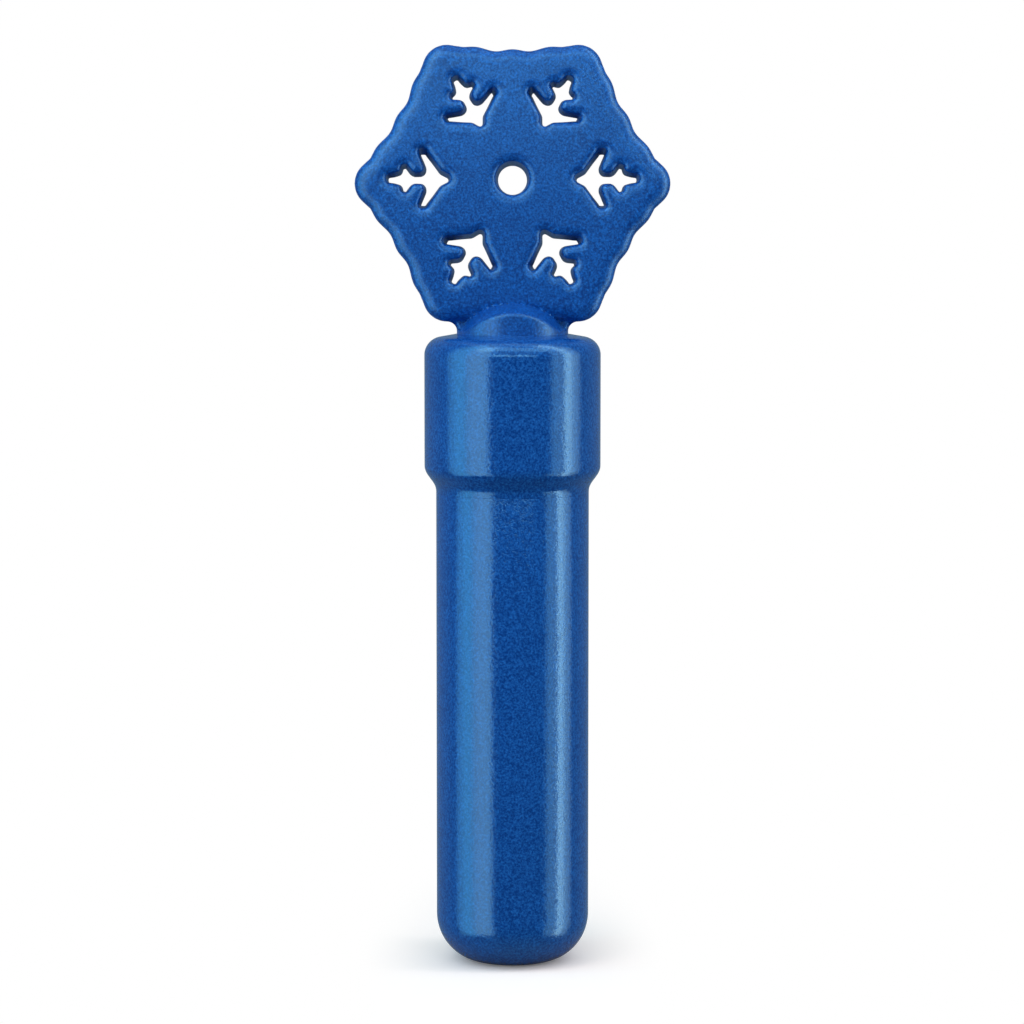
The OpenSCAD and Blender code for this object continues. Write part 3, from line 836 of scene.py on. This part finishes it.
def make_camera():
    """Camera in front of the object and somewhat above its middle, looking slightly down at it."""
    distance = 600.0
    pitch = math.radians(5.0)
    target_mm = 74.2
    focal_px = 3675.0
    data = bpy.data.cameras.new("camera")
    data.sensor_width = 36.0
    data.lens = data.sensor_width * focal_px / IMAGE_PX
    data.shift_x = -0.0005
    data.clip_start = 0.01
    cam = bpy.data.objects.new("camera", data)
    cam.location = (0, -distance * MM, (target_mm + distance * math.tan(pitch)) * MM)
    cam.rotation_euler = (math.pi / 2 - pitch, 0, 0)
    bpy.context.scene.collection.objects.link(cam)
    bpy.context.scene.camera = cam


def far_share(tree, coords, stretch, first, last, kind="LINEAR"):
    """Share from 0 to 1 that grows between two distances from the floor's middle, after a stretch."""
    vector = "ShaderNodeVectorMath"
    place = operate(tree, vector, "MULTIPLY", coords.outputs["Object"], stretch).outputs["Vector"]
    share = add_node(tree, "ShaderNodeMapRange", From_Min=first, From_Max=last)
    share.interpolation_type = kind
    tree.links.new(operate(tree, vector, "LENGTH", place).outputs["Value"], share.inputs["Value"])
    return share.outputs["Result"]


def floor_material():
    """White to the camera but for the object's shadow, and dim to other rays. Far out, mirrored ones pass."""
    white = (1, 1, 1, 1)
    mat, tree, out = new_material("floor_white")
    path = tree.nodes.new("ShaderNodeLightPath")
    coords = tree.nodes.new("ShaderNodeTexCoord")
    shaded = add_node(tree, "ShaderNodeBsdfDiffuse", Color=(1, 0.96, 0.92, 1))
    glow = add_node(tree, "ShaderNodeEmission", Color=white, Strength=0.1)
    plain = add_node(tree, "ShaderNodeEmission", Color=white, Strength=1.0)
    near = tree.nodes.new("ShaderNodeAddShader")
    tree.links.new(shaded.outputs[0], near.inputs[0])
    tree.links.new(glow.outputs[0], near.inputs[1])
    faded = far_share(tree, coords, stretch=(1, 0.25, 1), first=0.006, last=0.026, kind="SMOOTHSTEP")
    seen = mixed(tree, faded, near.outputs[0], plain.outputs[0])
    dim = add_node(tree, "ShaderNodeBsdfDiffuse", Color=(0.35, 0.35, 0.35, 1))
    through = tree.nodes.new("ShaderNodeBsdfTransparent")
    far = far_share(tree, coords, stretch=(1, 1, 1), first=0.013, last=0.022)
    mirrored = maths(tree, "MULTIPLY", path.outputs["Is Glossy Ray"], far)
    unseen = mixed(tree, mirrored, dim.outputs[0], through.outputs[0])
    tree.links.new(mixed(tree, path.outputs["Is Camera Ray"], unseen, seen), out.inputs["Surface"])
    return mat


def make_floor():
    """White floor that keeps the object's soft shadow near it and is plain white further out."""
    bm = bmesh.new()
    bmesh.ops.create_grid(bm, x_segments=2, y_segments=2, size=3.0)
    mesh = bpy.data.meshes.new("floor")
    bm.to_mesh(mesh)
    bm.free()
    floor = bpy.data.objects.new("floor", mesh)
    bpy.context.scene.collection.objects.link(floor)
    mesh.materials.append(floor_material())


def make_world():
    """Dim surroundings, brighter behind the object than in front, seen as white by the camera."""
    front_light = 0.11
    back_light = 0.3
    world = bpy.data.worlds.new("studio")
    bpy.context.scene.world = world
    world.use_nodes = True
    tree = world.node_tree
    tree.nodes.clear()
    out = tree.nodes.new("ShaderNodeOutputWorld")
    soft = add_node(tree, "ShaderNodeBackground", Color=(0.55, 0.82, 1, 1))
    white = add_node(tree, "ShaderNodeBackground", Color=(1, 1, 1, 1), Strength=1.0)
    path = tree.nodes.new("ShaderNodeLightPath")
    coords = tree.nodes.new("ShaderNodeTexCoord")
    axes = tree.nodes.new("ShaderNodeSeparateXYZ")
    level = add_node(tree, "ShaderNodeMapRange", From_Min=-0.2, From_Max=0.5)
    level.inputs["To Min"].default_value = front_light
    level.inputs["To Max"].default_value = back_light
    tree.links.new(coords.outputs["Generated"], axes.inputs[0])
    tree.links.new(axes.outputs["Y"], level.inputs["Value"])
    tree.links.new(level.outputs["Result"], soft.inputs["Strength"])
    seen = mixed(tree, path.outputs["Is Camera Ray"], soft.outputs[0], white.outputs[0])
    tree.links.new(seen, out.inputs["Surface"])


def make_lights():
    """Banks of upright panels on the left and right, the right one with a bright strip, and lamps above."""
    cool = (0.62, 1.08, 1.25)
    plain = (1, 1, 1)
    warm = (1.12, 1.0, 1.0)
    for name, first, last, radiance, tint in (
        ("left_back", -92, -80, 1.1, cool),
        ("left_far", -80, -64, 1.75, cool),
        ("left_middle", -64, -57, 1.8, plain),
        ("left_near", -57, -46, 2.15, warm),
        ("left_front", -46, -31, 2.2, warm),
        ("right_near", 52, 62, 1.3, plain),
        ("right_middle", 62, 72, 1.05, warm),
        ("right_strip", 72, 76, 5.8, warm),
        ("right_far", 76, 84, 3.9, warm),
        ("right_back", 84, 97, 1.5, plain),
    ):
        panel(name, first, last, radiance, tint)
    middle_z = 0.1
    head_z = 0.128
    for name, elevation, distance, width, height, radiance, target_z in (
        ("high_lamp", 90, 1.0, 1.2, 0.5, 0.75, middle_z),
        ("front_lamp", 35, 1.0, 1.2, 0.3, 0.5, middle_z),
        ("low_lamp", 12.5, 0.5, 0.6, 0.05, 4.0, head_z),
        ("top_lamp", 50, 0.17, 0.3, 0.08, 1.6, head_z),
    ):
        overhead(name, elevation, distance, width, height, radiance, target_z)


def dress_pieces():
    """Builds every piece, gives it its material and body, and hides the CAD node that it stands for."""
    satin = {"dark": (6, 58, 133), "light": (30, 102, 190), "roughness": 0.11, "depth_mm": 0.02}
    matt = {"dark": (0, 47, 125), "light": (18, 102, 198), "roughness": 0.33, "depth_mm": 0.018}
    smooth = {"dark": (0, 50, 122), "light": (12, 84, 166), "roughness": 0.2, "depth_mm": 0.006}
    head_plastic = grained_plastic("head_plastic", **matt)
    collar_plastic = grained_plastic("collar_plastic", **satin)
    tube_plastic = grained_plastic("tube_plastic", **satin)
    wand_plastic = grained_plastic("wand_plastic", **smooth)
    seal_rubber = rubber("seal_rubber", (206, 212, 216))

    dress(make_tube(), tube_plastic, "bottle", "tube")
    dress(make_collar(), collar_plastic, "collar", "screw_collar")
    dress(make_gasket(), seal_rubber, "liner", "collar_gasket")
    dress(make_head(), head_plastic, "wand", "snowflake_head")
    dress(make_plug(), wand_plastic, "wand", "stopper_plug")
    upper = make_seal_ring("seal_ring_top", UPPER_LOW, UPPER_HIGH)
    dress(upper, seal_rubber, "seals", "seal_ring_upper")
    lower = make_seal_ring("seal_ring_bottom", LOWER_LOW, LOWER_HIGH)
    dress(lower, seal_rubber, "seals", "seal_ring_lower")
    dress(make_stem(), wand_plastic, "wand", "wand_stem")
    dress(make_bubble_ring(), wand_plastic, "wand", "bubble_ring")


make_camera()
make_world()
make_lights()
make_floor()
dress_pieces()

bpy.context.scene.view_settings.view_transform = "Standard"
